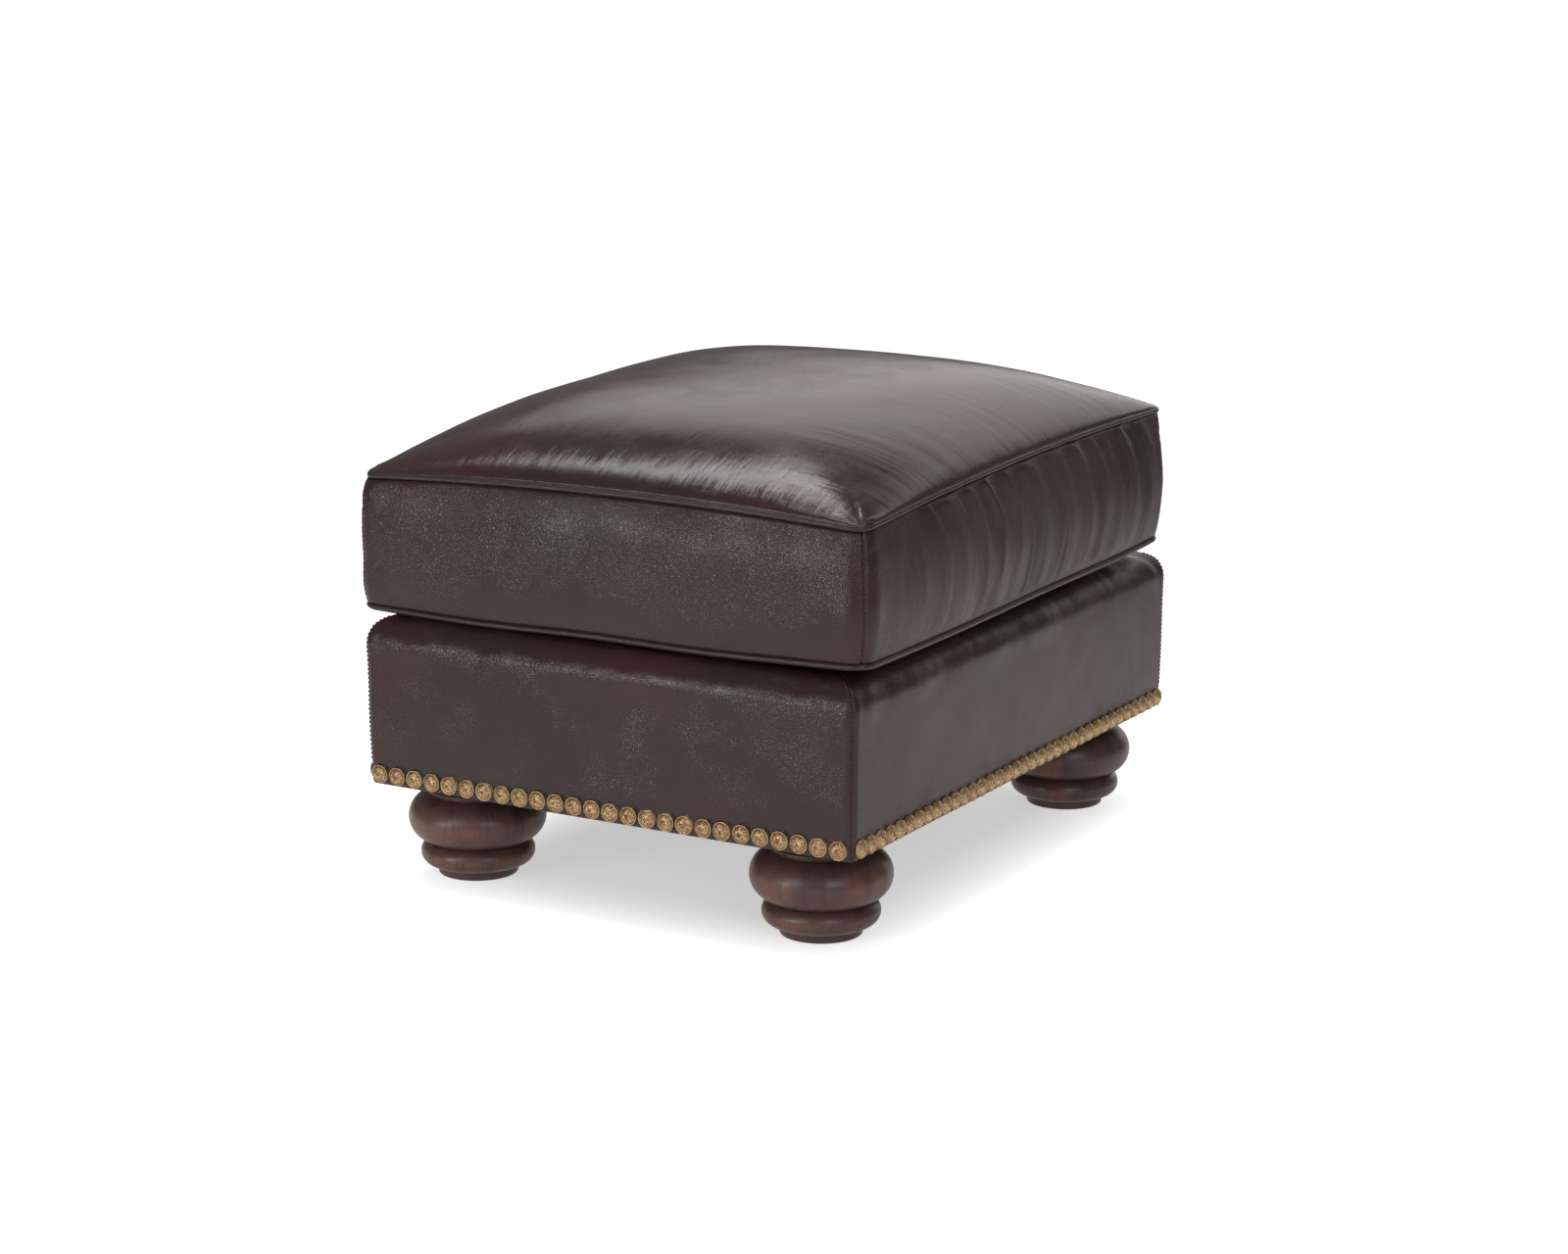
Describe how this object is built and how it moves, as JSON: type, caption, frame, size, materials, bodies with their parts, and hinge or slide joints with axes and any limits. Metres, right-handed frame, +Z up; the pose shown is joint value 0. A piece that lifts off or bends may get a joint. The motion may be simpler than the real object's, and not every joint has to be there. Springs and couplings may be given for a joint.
{
  "type": "upholstered ottoman",
  "caption": "Leather ottoman with a crowned, welted loose cushion on a boxed base trimmed with a row of domed nails, standing on four turned wooden feet.",
  "frame": {"origin": "on the floor under the middle of the base", "axes": "+Z up, front face towards -Y, +X to the right of the front face, longest side along Y"},
  "size_m": [0.589, 0.7022, 0.4952],
  "materials": {
    "leather": "semi-gloss dark espresso",
    "foot_wood": "turned, dark espresso lacquer",
    "frame_wood": "sawn hardwood",
    "nail_brass": "antiqued, hammered",
    "steel": "zinc plated",
    "zip_metal": "antiqued",
    "foam": "open-cell foam",
    "fibre": "polyester wadding",
    "felt": "cotton felt",
    "jute": "jute",
    "black_cloth": "non-woven cloth"
  },
  "bodies": {
    "base": {"rail_front": "frame_wood", "rail_back": "frame_wood", "rail_left": "frame_wood", "rail_right": "frame_wood", "post_front_left": "frame_wood", "post_front_right": "frame_wood", "post_back_left": "frame_wood", "post_back_right": "frame_wood", "block_front_left": "frame_wood", "block_front_right": "frame_wood", "block_back_left": "frame_wood", "block_back_right": "frame_wood", "dowels": "frame_wood", "side_padding": "felt", "panel_front": "leather", "panel_back": "leather", "panel_left": "leather", "panel_right": "leather", "edge_roll": "jute", "spring_1": "steel", "spring_2": "steel", "spring_3": "steel", "spring_4": "steel", "spring_5": "steel", "spring_clips": "steel", "tie_wires": "steel", "burlap": "jute", "deck_pad": "foam", "deck_cloth": "black_cloth", "dust_cover": "black_cloth", "staples": "steel", "nails_front": "nail_brass", "nails_back": "nail_brass", "nails_left": "nail_brass", "nails_right": "nail_brass", "foot_front_left": "foot_wood", "foot_front_right": "foot_wood", "foot_back_left": "foot_wood", "foot_back_right": "foot_wood", "hanger_bolts": "steel", "tee_nuts": "steel"},
    "cushion": {"cushion_core": "foam", "wrap_top": "fibre", "wrap_side": "fibre", "wrap_bottom": "fibre", "cover_top": "leather", "cover_bottom": "leather", "boxing_front": "leather", "boxing_left": "leather", "boxing_right": "leather", "zip_boxing_upper": "leather", "zip_boxing_lower": "leather", "welt_top": "leather", "welt_bottom": "leather", "zip_tape": "black_cloth", "zip_teeth": "zip_metal"},
    "zip_slider": {"zip_slider": "zip_metal"},
    "zip_pull": {"zip_pull": "zip_metal"}
  },
  "joints": [
    {"name": "cushion_lift", "type": "slide", "parent": "base", "child": "cushion", "axis": [0, 0, 1], "range_m": [0, 0.35]},
    {"name": "zip_slide", "type": "slide", "parent": "cushion", "child": "zip_slider", "axis": [-1, 0, 0], "range_m": [0, 0.45]},
    {"name": "zip_pull_hinge", "type": "hinge", "parent": "zip_slider", "child": "zip_pull", "pos_m": [0.223, 0.3356, 0.35694], "axis": [0, 0, 1], "range_deg": [0, 170]}
  ]
}
